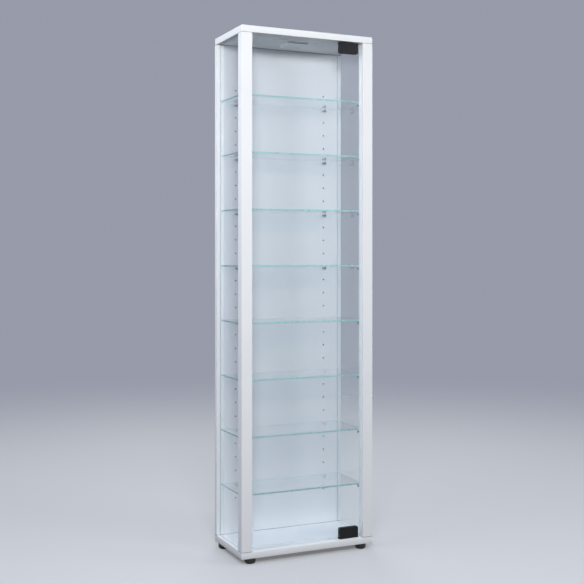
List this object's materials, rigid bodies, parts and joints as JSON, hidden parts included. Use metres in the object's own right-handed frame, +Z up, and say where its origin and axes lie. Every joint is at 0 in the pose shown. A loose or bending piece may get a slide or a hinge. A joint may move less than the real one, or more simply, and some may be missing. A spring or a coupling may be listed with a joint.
{
  "type": "display cabinet",
  "caption": "Tall slim display cabinet: white boards and posts, glass sides, glass shelves on pegs and a frameless glass door on pivot clamps, with a flat ceiling lamp.",
  "frame": {"origin": "on the floor, under the middle of the cabinet's width and depth", "axes": "+X to the right seen from the front, +Y to the back, +Z up"},
  "size_m": [0.485, 0.25, 1.761],
  "materials": {
    "white_board": "chipboard covered in satin white foil, with rounded edging",
    "clear_glass": "clear float glass with ground edges that look green",
    "black_clamp": "die-cast clamp, matt black paint",
    "black_plastic": "black moulded plastic",
    "gasket_rubber": "black rubber strip",
    "steel": "bright zinc-plated steel",
    "zinc": "die-cast zinc alloy",
    "nylon": "natural nylon",
    "dark_steel": "blackened steel",
    "clear_sleeve": "soft clear plastic tube",
    "beech": "fluted beech dowel",
    "latch_plastic": "white moulded plastic",
    "magnet": "nickel-plated magnet",
    "lamp_metal": "tray with white lacquer",
    "frosted_cover": "frosted diffuser, unlit",
    "circuit_board": "white circuit board"
  },
  "bodies": {
    "carcass": {"base_board": "white_board", "top_board": "white_board", "back_board": "white_board", "post_left": "white_board", "post_right": "white_board", "side_glass_left": "clear_glass", "side_glass_right": "clear_glass", "shelf_1": "clear_glass", "shelf_2": "clear_glass", "shelf_3": "clear_glass", "shelf_4": "clear_glass", "shelf_5": "clear_glass", "shelf_6": "clear_glass", "shelf_7": "clear_glass", "shelf_8": "clear_glass", "foot_front_left": "black_plastic", "foot_front_right": "black_plastic", "foot_rear_left": "black_plastic", "foot_rear_right": "black_plastic", "foot_screws": "steel", "cam_bolts": "steel", "latch_screws": "steel", "latch_spring": "steel", "lamp_screws": "steel", "cam_locks": "zinc", "hinge_bush_lower": "nylon", "hinge_bush_upper": "nylon", "cable_bush": "nylon", "pegs_rear": "dark_steel", "pegs_front": "dark_steel", "peg_sleeves_rear": "clear_sleeve", "peg_sleeves_front": "clear_sleeve", "dowels": "beech", "latch_housing": "latch_plastic", "lamp_housing": "lamp_metal", "lamp_diffuser": "frosted_cover", "lamp_led_board": "circuit_board"},
    "door": {"door_glass": "clear_glass", "hinge_set_screws": "steel", "strike_plate": "steel", "hinge_body_lower": "black_clamp", "hinge_gasket_lower": "gasket_rubber", "clamp_plate_lower": "steel", "hinge_pin_lower": "steel", "hinge_body_upper": "black_clamp", "hinge_gasket_upper": "gasket_rubber", "clamp_plate_upper": "steel", "hinge_pin_upper": "steel"},
    "plunger": {"latch_plunger": "latch_plastic", "latch_magnet": "magnet"}
  },
  "joints": [
    {"name": "door_hinge", "type": "hinge", "parent": "carcass", "child": "door", "pos_m": [0.1805, -0.1075, 0.045], "axis": [0, 0, 1], "range_deg": [0, 105]},
    {"name": "latch_slide", "type": "slide", "parent": "carcass", "child": "plunger", "axis": [0, -1, 0], "range_m": [0, 0.01]}
  ],
  "couplings": [
    {"joint": "latch_slide", "follows": "door_hinge", "m_per_rad": 0.00545}
  ]
}
